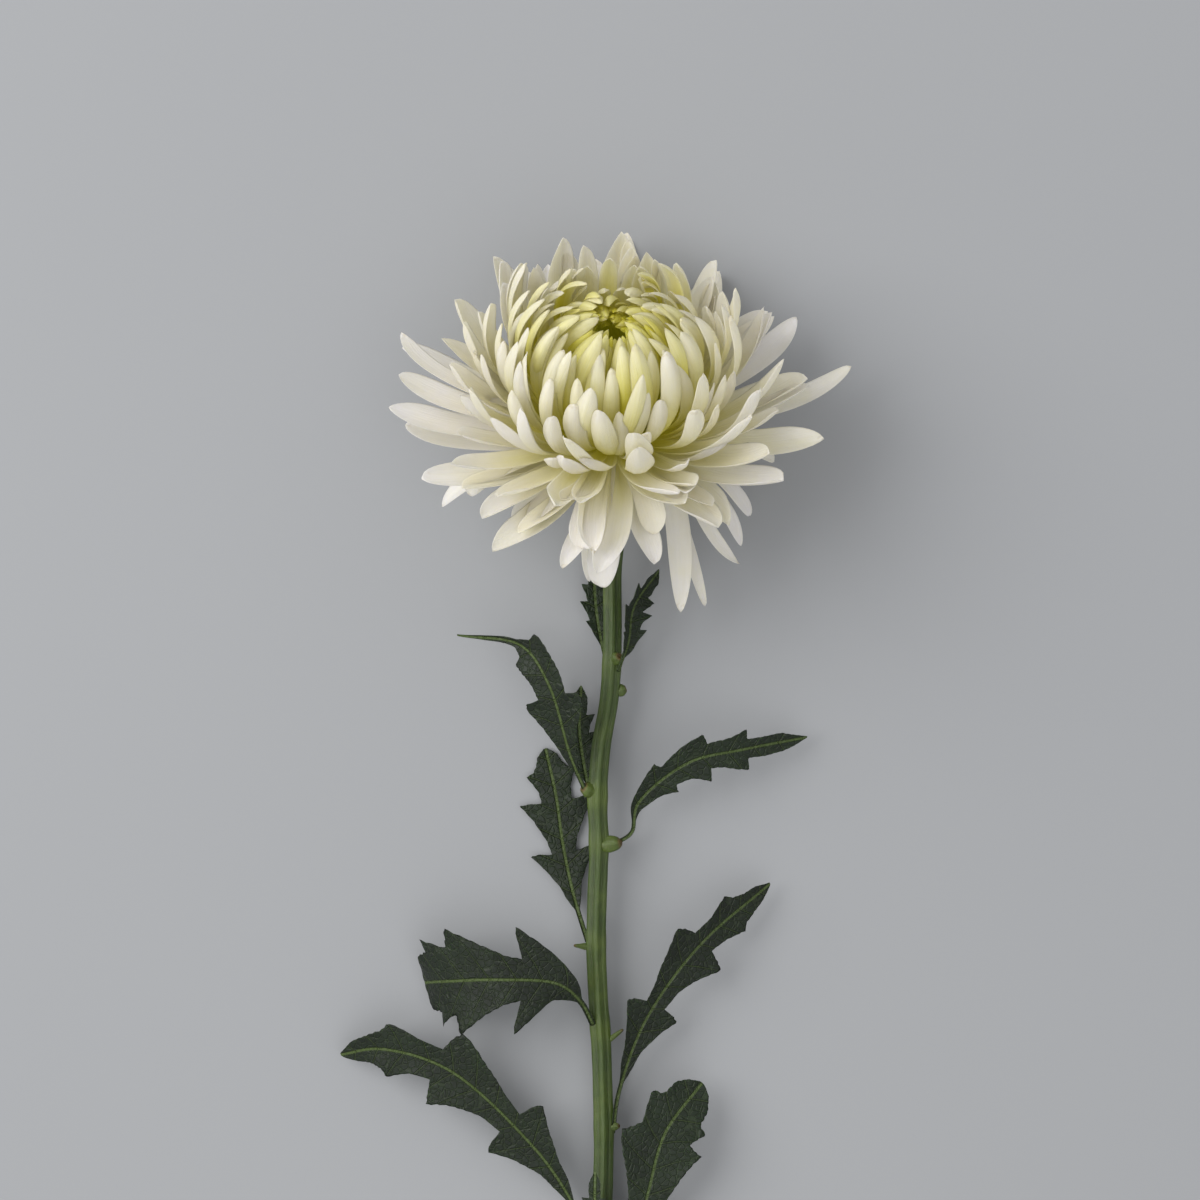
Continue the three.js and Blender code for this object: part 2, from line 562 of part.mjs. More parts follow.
// The flower: every piece with its finish
const FINISHES = {
  white: { color: "#ece9dc", roughness: 0.55, metalness: 0 },
  cream: { color: "#dfe0a0", roughness: 0.55, metalness: 0 },
  heart: { color: "#8a9a3e", roughness: 0.6, metalness: 0 },
  stalk: { color: "#5d7428", roughness: 0.5, metalness: 0 },
  foliage: { color: "#27361f", roughness: 0.5, metalness: 0 },
};

const flower = new THREE.Group();

function addPiece(name, solid, finish) {
  const mesh = new THREE.Mesh(geometryOf(solid), new THREE.MeshStandardMaterial(FINISHES[finish]));
  mesh.name = name;
  mesh.position.set(-FOOTPRINT_CENTRE[0], -FOOTPRINT_CENTRE[1], 0);
  flower.add(mesh);
}

const bloom = bloomSolids();
addPiece("outer_florets", bloom.outer_florets, "white");
addPiece("inner_florets", bloom.inner_florets, "cream");
addPiece("heart_florets", bloom.heart_florets, "heart");
addPiece("calyx", cupSolid(), "stalk");
addPiece("stem", stemSolid(), "stalk");
const clearance = stemClearance();
for (const [name, leaf] of Object.entries(LEAVES))
  addPiece(name, mainBody(leafSolid(leaf).subtract(clearance)), "foliage");

export default flower;
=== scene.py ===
"""A cut disbud chrysanthemum lying on a pale surface, seen from straight above."""

import bpy
import numpy as np
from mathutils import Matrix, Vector


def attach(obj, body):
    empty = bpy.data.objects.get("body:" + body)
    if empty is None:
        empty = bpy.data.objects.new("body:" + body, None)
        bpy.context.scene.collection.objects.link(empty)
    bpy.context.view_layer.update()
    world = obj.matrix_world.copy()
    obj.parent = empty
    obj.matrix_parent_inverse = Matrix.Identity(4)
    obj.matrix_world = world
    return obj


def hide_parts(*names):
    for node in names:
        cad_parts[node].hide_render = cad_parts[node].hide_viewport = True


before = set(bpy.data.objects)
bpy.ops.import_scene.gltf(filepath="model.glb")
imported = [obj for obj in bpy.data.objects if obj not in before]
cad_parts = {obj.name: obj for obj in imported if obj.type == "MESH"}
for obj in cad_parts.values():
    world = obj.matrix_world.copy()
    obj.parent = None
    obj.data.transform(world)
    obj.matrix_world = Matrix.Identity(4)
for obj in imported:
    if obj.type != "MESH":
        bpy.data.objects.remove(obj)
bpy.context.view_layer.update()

# The stem
# A six-ribbed green rod that leans a little from leaf to leaf. It carries everything else: the leaves
# clasp it, the bloom sits on its end, and small knobs mark where the side buds were pinched off.

FOOTPRINT_CENTRE = np.array([-1.8, -71.0, 0.0])
BLOOM = np.array([3.6, 46.2, 21.5])
RIGHT = np.array([1.0, 0.0, 0.0])
AXIS = np.array([0.0, np.sqrt(0.5), np.sqrt(0.5)])
BACK = np.array([0.0, np.sqrt(0.5), -np.sqrt(0.5)])
UP = np.array([0.0, 0.0, 1.0])


class Shade:
    """A value in a material's nodes. Arithmetic on it adds Math nodes."""

    def __init__(self, tree, socket=None):
        self.tree = tree
        self.socket = socket

    def node(self, kind, settings=None, sockets=None, out=0):
        """Adds a node of a kind, sets it up, fills its sockets, and gives one of its outputs."""
        made = self.tree.nodes.new(kind)
        for name, value in (settings or {}).items():
            if name == "stops":
                stops = made.color_ramp.elements
                while len(stops) < len(value):
                    stops.new(0.5)
                for stop, (place, colour) in zip(stops, value):
                    stop.position = place
                    stop.color = (*colour, 1)
            else:
                setattr(made, name, value)
        for name, value in (sockets or {}).items():
            if isinstance(value, Shade):
                self.tree.links.new(value.socket, made.inputs[name])
            else:
                made.inputs[name].default_value = value
        return Shade(self.tree, made.outputs[out])

    def math(self, operation, *values):
        return self.node("ShaderNodeMath", {"operation": operation}, dict(enumerate(values)))

    def __add__(self, other):
        return self.math("ADD", self, other)

    def __mul__(self, other):
        return self.math("MULTIPLY", self, other)

    def __sub__(self, other):
        return self.math("SUBTRACT", self, other)

    def __rsub__(self, other):
        return self.math("SUBTRACT", other, self)

    __radd__ = __add__
    __rmul__ = __mul__

    def clamp(self):
        return self.node("ShaderNodeClamp", None, {"Value": self})

    def step(self, low, high):
        """0 below low, 1 above high, and a smooth rise between."""
        return self.node(
            "ShaderNodeMapRange",
            {"interpolation_type": "SMOOTHSTEP"},
            {"Value": self, "From Min": low, "From Max": high},
        )

    def mix(self, low, high):
        """The colour low where this is 0, high where it is 1."""
        sockets = {"Factor": self, 6: low, 7: high}
        return self.node("ShaderNodeMix", {"data_type": "RGBA"}, sockets, out=2)

    def split(self, vector):
        """The three parts of a vector."""
        made = self.node("ShaderNodeSeparateXYZ", None, {0: vector})
        return [Shade(self.tree, s) for s in made.socket.node.outputs]

    def noise(self, vector, scale, detail=3.0, roughness=0.5):
        sockets = {"Vector": vector, "Scale": scale, "Detail": detail, "Roughness": roughness}
        return self.node("ShaderNodeTexNoise", None, sockets)

    def stretch(self, vector, scale):
        return self.node("ShaderNodeMapping", None, {"Vector": vector, "Scale": scale})


def rgb(red, green, blue):
    """A display colour, 0 to 255, as the light values that shaders use."""
    c = np.array([red, green, blue]) / 255
    return (*np.where(c < 0.04045, c / 12.92, ((c + 0.055) / 1.055) ** 2.4).tolist(), 1.0)


def new_material(name):
    material = bpy.data.materials.new(name)
    material.use_nodes = True
    return material, Shade(material.node_tree), material.node_tree.nodes["Principled BSDF"]


def feed(shade, shader, **links):
    """Links values to the shader's sockets, named with underscores for spaces."""
    for name, value in links.items():
        shade.tree.links.new(value.socket, shader.inputs[name.replace("_", " ")])


def bump(shade, height, distance, strength=1.0):
    sockets = {"Height": height, "Distance": distance, "Strength": strength}
    return shade.node("ShaderNodeBump", None, sockets)


def object_place(shade):
    """Object coordinates in millimetres."""
    made = shade.node("ShaderNodeTexCoord", None, None, out=3)
    return shade.node("ShaderNodeVectorMath", {"operation": "SCALE"}, {0: made, "Scale": 1000.0})


def attribute(shade, name="tint"):
    return shade.split(shade.node("ShaderNodeAttribute", {"attribute_name": name}, None, out=1))


def unit(v):
    return v / np.linalg.norm(v, axis=-1, keepdims=True)


def smooth_curve(points, count):
    """Evenly spaced points and directions on a smooth curve through control points. Each stretch is
    a cubic whose end slopes weigh the neighbours by the square roots of their distances."""
    p = np.asarray(points, float)
    p = np.vstack([2 * p[0] - p[1], p, 2 * p[-1] - p[-2]])
    t = np.linspace(0, 1, 40)[:, None]
    parts = []
    for a, b, c, d in zip(p, p[1:], p[2:], p[3:]):
        ab, bc, cd = (np.sqrt(np.linalg.norm(v)) for v in (b - a, c - b, d - c))
        start = ((b - a) / ab - (c - a) / (ab + bc) + (c - b) / bc) * bc
        end = ((c - b) / bc - (d - b) / (bc + cd) + (d - c) / cd) * bc
        parts.append(
            b + start * t + (3 * (c - b) - 2 * start - end) * t**2 + (2 * (b - c) + start + end) * t**3
        )
    dense = np.vstack([parts[0][:1], *(part[1:] for part in parts)])
    run = np.concatenate([[0], np.cumsum(np.linalg.norm(np.diff(dense, axis=0), axis=1))])
    even = np.linspace(0, run[-1], count)
    place = np.stack([np.interp(even, run, dense[:, k]) for k in range(3)], axis=1)
    return place, unit(np.gradient(place, axis=0)), run[-1]


def piece(name, skins, material, slot, *nodes):
    """Makes one mesh from closed skins. A skin is (rings, uv, tint), each of shape (pieces, rings,
    points round, values): its faces join each ring to the next, and its two ends are closed."""
    places, uvs, tints, faces, base = [], [], [], [], 0
    for rings, uv, tint in skins:
        count, along, around = rings.shape[:3]
        index = base + np.arange(count * along * around).reshape(count, along, around)
        a, b = index, np.roll(index, -1, axis=2)
        quads = np.stack([a[:, :-1], b[:, :-1], b[:, 1:], a[:, 1:]], axis=-1).reshape(-1, 4)
        flat = rings.reshape(-1, 3)
        if skin_turn(rings) < 0:
            quads = quads[:, ::-1]
            ends = np.concatenate([index[:, 0, :], index[:, -1, ::-1]])
        else:
            ends = np.concatenate([index[:, 0, ::-1], index[:, -1, :]])
        faces += quads.tolist() + ends.tolist()
        places.append(flat)
        uvs.append(uv.reshape(-1, 2))
        tints.append(tint.reshape(-1, 3))
        base += len(flat)
    place = (np.concatenate(places) - FOOTPRINT_CENTRE) / 1000
    mesh = bpy.data.meshes.new(name)
    mesh.from_pydata(place.tolist(), [], faces)
    corners = np.zeros(len(mesh.loops), dtype=np.int32)
    mesh.loops.foreach_get("vertex_index", corners)
    layer = mesh.uv_layers.new(name="UVMap")
    layer.data.foreach_set("uv", np.concatenate(uvs)[corners].astype(np.float32).ravel())
    colour = mesh.color_attributes.new(name="tint", type="FLOAT_COLOR", domain="POINT")
    full = np.ones((base, 4), dtype=np.float32)
    full[:, :3] = np.concatenate(tints)
    colour.data.foreach_set("color", full.ravel())
    mesh.shade_smooth()
    mesh.materials.append(material)
    made = bpy.data.objects.new(name, mesh)
    bpy.context.scene.collection.objects.link(made)
    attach(made, "root")
    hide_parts(*nodes)
    return made


def skin_turn(rings):
    """Positive where the rings run counter-clockwise about the way they go, summed over the skin."""
    centre = rings.mean(axis=2, keepdims=True)
    spoke = rings - centre
    turn = np.cross(spoke, np.roll(spoke, -1, axis=2)).sum(axis=2)[:, :-1]
    return float((turn * np.diff(centre[:, :, 0], axis=1)).sum())


STEM_RADIUS = 2.9
RIBS = 6
RIB_DEPTH = 0.08
CUT_END = -246.0
STEM_FALL = 0.033
NECK = -8.37
STEM_WAY = [
    (4.4, 27), (4.6, 20), (3.6, 8.4), (3.5, -14), (2.6, -28), (0.3, -42), (-0.7, -56), (-0.3, -70),
    (-0.8, -84), (-1.1, -98), (-0.6, -112), (0.3, -126), (0.8, -140), (1.1, -154), (0.8, -168),
    (0, -196), (0.6, -224), (1.7, CUT_END),
]
# Where leaves and buds spring, as heights along Y, with the swelling of the stem there.
NODES = [
    (-18, 0.1), (-56, 0.22), (-69, 0.16), (-97, 0.1), (-121, 0.12), (-151, 0.1), (-188, 0.12), (-205, 0.12),
]


def stem_height(y):
    return STEM_RADIUS * (1 + RIB_DEPTH) - 0.15 + (y - CUT_END) * STEM_FALL


def stem_skin(along=420, around=60):
    """The stem's surface: at a share s along the curve and an angle round it, the radius times one
    less the rib depth by the cosine of six times the angle, swollen at each leaf by a bell curve."""
    neck = [BLOOM + AXIS * NECK, BLOOM + AXIS * (NECK - 5)]
    way = [(x, y, stem_height(y)) for x, y in STEM_WAY]
    centre, tangent, length = smooth_curve([*neck, *way], along)
    side = unit(np.cross(tangent, UP))
    up = np.cross(side, tangent)
    s = np.linspace(0, 1, along)[:, None]
    angle = np.linspace(0, 2 * np.pi, around, endpoint=False)[None, :]
    swelling = sum(size * np.exp(-(((centre[:, 1:2] - y) / 3.2) ** 2)) for y, size in NODES)
    ribs = 1 - RIB_DEPTH * np.cos(RIBS * angle) - 0.018 * np.cos(3 * RIBS * angle + 8 * s)
    radius = STEM_RADIUS * (0.9 + 0.14 * s) * ribs * (1 + 0.5 * swelling)
    radius = radius * (1 + 0.012 * np.sin(90 * s + 2 * angle))
    ring = (
        centre[:, None]
        + side[:, None] * (radius * np.cos(angle))[..., None]
        + up[:, None] * (radius * np.sin(angle))[..., None]
    )
    # The cut face: rings that shrink to the middle, a little sunk in the pith.
    shrink = np.array([0.93, 0.8, 0.55, 0.3, 0.08])[:, None, None]
    sink = np.array([0.05, 0.0, -0.1, -0.25, -0.3])[:, None, None]
    face = centre[-1] + (ring[-1] - centre[-1]) * shrink + tangent[-1] * sink
    rings = np.concatenate([ring, face])
    rings[..., 2] = np.maximum(rings[..., 2], 0)
    v = np.concatenate([s[:, 0] * length, length + np.arange(1, 6)])
    uv = np.stack(np.broadcast_arrays(angle / (2 * np.pi), v[:, None]), axis=-1)
    cut = np.concatenate([np.zeros(along), [0.35, 0.7, 1, 1, 1]])[:, None]
    pinched = np.concatenate([swelling[:, 0] * 4, np.zeros(5)])[:, None]
    tint = np.stack(np.broadcast_arrays(cut, pinched, angle * 0), axis=-1)
    return rings[None], uv[None], tint[None]


# Foot, direction, sizes and their spacing of each knob or stub on the stem.
KNOBS = [
    ((3.8, -17, 11.8), (0.9, 0.5, 1), (1.7, 1.8, 1.2), 1.6),
    ((-2, -54.6, 10.0), (-1, 0.55, 0.5), (2, 2.2, 1.7), 1.9),
    ((1, -69.6, 9.8), (1, 0.15, 0.3), (2, 2.3, 2, 1.3), 1.9),
    ((5, -26, 10.3), (0.8, 0.3, 0), (1.6, 1.7, 1), 1.4),
    ((-3, -98.6, 8.7), (-1, 0.1, 0.2), (1, 0.9, 0.6, 0.5), 1.6),
    ((2, -125.6, 7.7), (0.9, 0.7, 0.3), (0.8, 0.7, 0.6, 0.5), 2.1),
    ((3, -150, 7.1), (1, 0.2, 0.4), (1.2, 1.1, 0.7), 1.5),
    ((-2, -119, 8.6), (-0.9, 0.8, 0.4), (0.9, 0.8, 0.5), 1.6),
    ((1.6, -189, 6.1), (0.3, 0.5, 1), (1.5, 1.5, 1), 1.5),
    ((2, -205, 5.8), (0.6, 0.5, 0.6), (1.6, 1.6, 1.1), 1.5),
]


def knob_skin(foot, direction, sizes, step, around=28, along=22):
    """A knob: at a share s out from the stem and an angle round, its sizes read in a smooth line,
    closed over the last one as a quarter circle with a small dent, where the bud broke off."""
    way = unit(np.array(direction, float))
    side = unit(np.cross(way, [0.1, 0.2, 1]))
    up = np.cross(side, way)
    s = np.linspace(0, 1, along)
    size = np.interp(s * (len(sizes) - 1), np.arange(len(sizes)), sizes)
    size = size * np.sqrt(np.clip(1 - (np.clip(s - 0.72, 0, 1) / 0.285) ** 2, 0.0, 1))
    rise = s * step * (len(sizes) - 1)
    rise = rise - 0.5 * np.clip((s - 0.93) / 0.07, 0, 1) ** 2
    angle = np.linspace(0, 2 * np.pi, around, endpoint=False)
    lump = 1 + 0.07 * np.sin(2 * angle + 5 * s[:, None]) + 0.04 * np.sin(5 * angle)
    radius = size[:, None] * lump
    rings = (
        np.array(foot)
        + way * rise[:, None, None]
        + side * (radius * np.cos(angle))[..., None]
        + up * (radius * np.sin(angle))[..., None]
    )
    uv = np.stack(np.broadcast_arrays(angle / (2 * np.pi), 500 + rise[:, None]), axis=-1)
    scar = np.clip((s - 0.78) / 0.15, 0, 1)[:, None]
    tint = np.stack(np.broadcast_arrays(scar * 0, 0.8 + scar * 0, scar + angle * 0), axis=-1)
    return rings[None], uv[None], tint[None]


STALK_GREEN = rgb(60, 80, 22)
STALK_DARK = rgb(34, 48, 14)
STALK_PALE = rgb(88, 104, 40)
STALK_BROWN = rgb(92, 70, 34)
PITH = rgb(206, 212, 168)

stalk, shade, shader = new_material("ribbed_stalk")
cut, node_mark, scar = attribute(shade)
wrapped = shade.node("ShaderNodeUVMap")
turn_round, _, _ = shade.split(wrapped)
rib_turns = turn_round * (2 * np.pi * RIBS)
rib_wave = rib_turns.math("COSINE", rib_turns)
fibre = shade.noise(shade.stretch(wrapped, (60, 0.25, 1)), 1.0, 4)
blotch = shade.noise(object_place(shade), 0.09, 4)
speck = shade.noise(object_place(shade), 2.6, 2)
skin = (rib_wave * 0.2 + 0.4 + (fibre - 0.5) * 0.9).clamp().mix(STALK_GREEN, STALK_DARK)
skin = (blotch.step(0.45, 0.75) * 0.5).mix(skin, STALK_PALE)
skin = (node_mark * 0.5).clamp().mix(skin, STALK_PALE)
skin = (speck.step(0.62, 0.7) * 0.35).mix(skin, STALK_BROWN)
skin = (scar * 0.85 + (speck - 0.5) * scar).clamp().mix(skin, STALK_BROWN)
skin = cut.clamp().mix(skin, PITH)
feed(shade, shader, Base_Color=skin, Roughness=fibre * 0.2 + 0.36,
     Normal=bump(shade, fibre + speck * 0.4, 0.0002))
shader.inputs["Subsurface Weight"].default_value = 0.12
shader.inputs["Subsurface Radius"].default_value = (0.8, 1.0, 0.3)
shader.inputs["Subsurface Scale"].default_value = 0.0015

piece("stem_rod", [stem_skin(), *(knob_skin(*k) for k in KNOBS)], stalk, "stem_green", "stem")

# The calyx
# A green cup under the bloom, made of a fleshy foot and a collar of pointed bracts that press
# against the back of the lowest florets.

ACROSS = np.sin(np.linspace(-1, 1, 9) * np.pi / 2)
RING_X = np.concatenate([ACROSS, ACROSS[-2:0:-1]])
RING_HAND = np.concatenate([np.ones(9), -np.ones(7)])
PATH_STEPS = 40
WIDEST_AT = 0.74
FOOT_SHARE = 0.36
GOLDEN_ANGLE = 137.508


def draw(i, k):
    """A repeatable draw from -1 to 1 for each piece i: twice the fraction of a large sine, less 1."""
    x = np.sin(i * 12.9898 + k * 78.233 + 4.1) * 43758.5453
    return 2 * (x - np.floor(x)) - 1


def along_list(values, t):
    return np.interp(t, np.linspace(0, 1, len(values)), values)


def toward_tip(count, end=0.997, crowding=1.35):
    """Shares along a floret, from its foot almost to its tip, closer together towards the tip."""
    return 1 - (1 - np.linspace(0, end, count)) ** crowding


def swell(s, point):
    """Share of a floret's greatest width: a sine rise from the foot, then one less the square of the
    way on to the tip, to the power point: a half makes a round tip, and more a pointed one."""
    rise = FOOT_SHARE + (1 - FOOT_SHARE) * np.sin(np.pi / 2 * np.minimum(s / WIDEST_AT, 1))
    tip = np.clip(1 - (np.maximum(s - WIDEST_AT, 0) / (1 - WIDEST_AT)) ** 2, 0, 1) ** point
    return np.where(s < WIDEST_AT, rise, tip)


def rule_paths(s, azimuth, start, end, bend, length, radius, height, drift, twist):
    """Centre lines that leave the bloom's axis at an angle turning from start to end as s to the
    power bend, in a half plane that swings by drift, with the blade rolled by twist. All but s are
    one value per floret, angles in radians. Gives places, sideways and inward directions."""
    values = (azimuth, start, end, bend, length, radius, height, drift, twist)
    azimuth, start, end, bend, length, radius, height, drift, twist = (
        np.asarray(v, float)[:, None] for v in values
    )
    k = np.arange(PATH_STEPS)[None, :]
    middle = start + (end - start) * ((k + 0.5) / PATH_STEPS) ** bend
    zero = np.zeros_like(radius)
    r = radius + np.concatenate([zero, np.cumsum(length / PATH_STEPS * np.cos(middle), axis=1)], axis=1)
    h = height + np.concatenate([zero, np.cumsum(length / PATH_STEPS * np.sin(middle), axis=1)], axis=1)
    at = s * PATH_STEPS
    low = np.minimum(at.astype(int), PATH_STEPS - 1)
    part = at - low
    r = r[:, low] * (1 - part) + r[:, low + 1] * part
    h = h[:, low] * (1 - part) + h[:, low + 1] * part
    angle = (azimuth + drift * s**2)[..., None]
    lift = (start + (end - start) * s**bend)[..., None]
    roll = (twist * s**2)[..., None]
    radial = RIGHT * np.cos(angle) + BACK * np.sin(angle)
    tangent = radial * np.cos(lift) + AXIS * np.sin(lift)
    inner = AXIS * np.cos(lift) - radial * np.sin(lift)
    side = np.cross(tangent, inner)
    point = BLOOM + radial * r[..., None] + AXIS * h[..., None]
    return point, side * np.cos(roll) + inner * np.sin(roll), inner * np.cos(roll) - side * np.sin(roll)


def blade_skin(s, path, width, length, cup, thickness, seed, green, groove=0.15, wave=0.35):
    """A floret or bract: at s along and x across, the centre line plus x half widths sideways, plus
    inward a channel of cup times width times |x| to 1.7, shallow grooves as a cosine of x, and a
    wave at the rim, plus or minus half a thickness that thins to the rim as one less x squared."""
    point, side, inner = path
    count = len(width)
    x = RING_X[None, None, :]
    hand = RING_HAND[None, None, :]
    share = swell(s[None, :], (0.62 + 0.2 * draw(seed, 13))[:, None])[..., None]
    half = width[:, None, None] * share / 2
    phase = (draw(seed, 11) * 3)[:, None, None]
    across = np.abs(x)
    channel = 2 * cup * half * across**1.7 * (1 + 0.5 * s[None, :, None] ** 2)
    lines = groove * np.cos(3 * np.pi * x + 0.5 * phase) * share * (1 - across)
    rim = wave * across**3 * np.sin(9 * s[None, :, None] + phase + 2 * x) * s[None, :, None]
    body = hand * thickness / 2 * (1 - 0.75 * across**2) * np.sqrt(share)
    rings = (
        point[:, :, None]
        + side[:, :, None] * (half * x)[..., None]
        + inner[:, :, None] * (channel + lines + rim + body)[..., None]
    )
    low = rings[..., 2].min(axis=2, keepdims=True)
    rings[..., 2] += np.maximum(0, -low)
    u = half * x + 0 * s[None, :, None]
    v = length[:, None, None] * s[None, :, None] + 0 * x
    uv = np.stack(np.broadcast_arrays(u + 20 * phase, v), axis=-1)
    spread = draw(seed, 12)[:, None, None] * 0.5 + 0.5
    tint = np.stack(
        np.broadcast_arrays(green[..., None] + 0 * x, s[None, :, None] + 0 * x, spread), axis=-1
    )
    tint = np.broadcast_to(tint, (count, len(s), len(RING_X), 3))
    return rings, uv, tint


def turned_skin(profile, around=48):
    """A solid turned about the bloom's axis from a profile of (radius, height) points."""
    r, h = np.array(profile, float).T
    angle = np.linspace(0, 2 * np.pi, around, endpoint=False)
    radial = RIGHT * np.cos(angle)[:, None] + BACK * np.sin(angle)[:, None]
    rings = BLOOM + radial[None] * np.maximum(r, 0.01)[:, None, None] + AXIS * h[:, None, None]
    uv = np.stack(np.broadcast_arrays(angle / 6.3, h[:, None]), axis=-1)
    tint = np.zeros(rings.shape) + (0.9, 0.1, 0.5)
    return rings[None], uv[None], tint[None]


CUP = [
    (0, -8), (3.2, -8), (3.9, -7.7), (5.4, -6.6), (6.9, -5.2), (8, -3.6), (8.4, -2.4), (8.3, -1.4),
    (0, -1.35),
]


def bract_skin(count=11, length=7.6, width=5.2, height=-5.6, seed=900):
    """The collar of bracts: evenly round the axis, each a blade that rises at 20 degrees from straight
    out at its foot and at 52 degrees at its tip, in proportion to the share between."""
    i = np.arange(count)
    s = toward_tip(18, 0.995, 1.4)
    one = np.ones(count)
    path = rule_paths(
        s, (i + 0.5) / count * 2 * np.pi, np.radians(20) * one, np.radians(52) * one, one,
        length * one, 6 * one, height * one, 0 * one, 0 * one,
    )
    green = np.broadcast_to(s[None] * 0.5, (count, len(s)))
    return blade_skin(s, path, width * one, length * one, 0.1, 0.8, i + seed, green, 0.05, 0.1)


bract, shade, shader = new_material("bract_green")
_, up_blade, _ = attribute(shade)
grain = shade.noise(object_place(shade), 1.4, 4)
lines = shade.noise(shade.stretch(shade.node("ShaderNodeUVMap"), (3, 0.2, 1)), 1.0, 3)
colour = (lines * 0.6 + grain * 0.4).step(0.3, 0.7).mix(rgb(52, 70, 26), rgb(92, 112, 46))
colour = up_blade.step(0.75, 1.0).mix(colour, rgb(140, 128, 74))
feed(shade, shader, Base_Color=colour, Roughness=grain * 0.2 + 0.45, Normal=bump(shade, lines, 0.0002))
shader.inputs["Subsurface Weight"].default_value = 0.1
shader.inputs["Subsurface Radius"].default_value = (0.8, 1.0, 0.3)
shader.inputs["Subsurface Scale"].default_value = 0.001

piece("calyx_cup", [turned_skin(CUP), bract_skin()], bract, "calyx_green", "calyx")

# The outer florets
# Long white ray florets, channelled and with round to pointed tips, set in a spiral on the receptacle.
# The inner ones stand up and curl over the bun, the outer ones lie open and crowd to the near side,
# where they droop.

OUTER = dict(
    count=99, seed=0,
    start=(52, 41, 29, 17, 8), end=(166, 150, 124, 90, 50), bend=(2.2, 2, 1.8, 1.6, 1.4),
    length=(50, 52, 54, 55, 56), width=(5.2, 6.2, 7.4, 8.8, 10), radius=(8.2, 8.2, 8.2, 8, 7.6),
    height=(6.4, 5.4, 4.2, 2.8, 1.2), cup=0.2, crowd=0.34, droop=(10, 66), trim=(9, 3), swirl=0,
    jitter=dict(azimuth=8, start=3, end=18, length=0.08, width=0.14, drift=11, twist=24),
)

# Narrower florets between those, by the same rule and with draws of their own.
OUTER_FILL = dict(
    OUTER, count=84, seed=2000, length=(48, 49, 50, 50, 50), width=(4, 4.8, 5.8, 7, 8),
)


def family_skin(family, thickness, green_of):
    """A whole family of florets at once, each read from the family's lists at its share t of the
    count, with its draws. They crowd to the near side by the cosine of their place round the bloom,
    and those there droop by its sine."""
    i = np.arange(family["count"])
    t = i / (family["count"] - 1)
    n = i + family["seed"]
    jitter = family["jitter"]
    turn = np.radians(i * GOLDEN_ANGLE)
    azimuth = turn - family["crowd"] * t * np.cos(turn) + np.radians(draw(n, 0) * jitter["azimuth"])
    near = np.maximum(0, -np.sin(azimuth)) * t
    far = np.maximum(0, np.sin(azimuth))
    lists = ("start", "end", "bend", "length", "width", "radius", "height")
    read = {name: along_list(family[name], t) for name in lists}
    start = np.radians(read["start"] + draw(n, 1) * jitter["start"] - near * family["droop"][0])
    end = np.radians(read["end"] + draw(n, 2) * jitter["end"] - near * family["droop"][1])
    length = read["length"] - near * family["trim"][0] - far * family["trim"][1]
    length = length * (1 + draw(n, 3) * jitter["length"])
    drift = np.radians(family["swirl"] + draw(n, 4) * jitter["drift"])
    twist = np.radians(draw(n, 5) * jitter["twist"])
    width = read["width"] * (1 + draw(n, 6) * jitter["width"])
    s = toward_tip(22)
    path = rule_paths(
        s, azimuth, start, end, read["bend"], length, read["radius"], read["height"], drift, twist
    )
    green = green_of(t[:, None], s[None, :])
    return blade_skin(s, path, width, length, family["cup"], thickness, n, green)


STRAYS = [
    ((-25, 8, 6), (-56, 15, 14), (-58.8, 28.3, 17), 6),
    ((-25, 3, 8), (-50, 8, 14), (-59.6, 16.5, 18), 9),
    ((-25, 0, 7), (-48, 0, 12), (-62.4, 7.6, 15), 10),
    ((-24, -3, 6), (-45, -4, 8), (-58, 3, 9), 10),
    ((-25, -6, 10), (-40, -10, 9), (-48, -20, 4), 6),
    ((-20, -5, 14), (-34, -8, 18), (-40, -17, 15), 9),
    ((-10, -10, 16), (-20, -20, 26), (-27.5, -25.5, 25), 10),
    ((-3, -12, 17), (-7, -26, 30), (-8, -32, 28), 10.5),
    ((0, -14, 14), (-2, -32, 23), (-3.5, -42.5, 16), 9),
    ((-3, -14, 11), (-7, -28, 15), (-6.5, -41, 9), 5),
    ((6, -10, 16), (12, -22, 28), (11, -28, 27), 8),
    ((14, -4, 10), (20, -20, 12), (19, -49.6, 3), 7),
    ((16, -6, 7), (20, -30, 6), (26, -48, 1), 3.6),
    ((20, -6, 8), (26, -32, 8), (35.5, -36, 4), 4),
    ((22, -6, 6), (32, -18, 6), (36, -31, 1), 4.5),
    ((22, -3, 6), (34, -14, 5), (38.5, -22.5, 0), 5.5),
    ((20, 2, 5), (34, 2, 6), (45.4, -7.3, 2), 9.5),
    ((28, 4, 1), (54, 6, -1), (67, 19.5, 3), 7),
    ((2, 20, -12), (3, 42, -22), (3.4, 58, -22), 8),
    ((12, 17, -11), (26, 34, -25), (30.5, 47.6, -18), 11),
    ((-11, 16, -11), (-21, 30, -25), (-29, 42, -19), 10),
    ((22, 10, -3), (44, 18, -9), (52, 34, -8), 9),
]
STRAY_ROOT = 7
STRAY_LIFT = 2
STRAY_CUP = 0.12


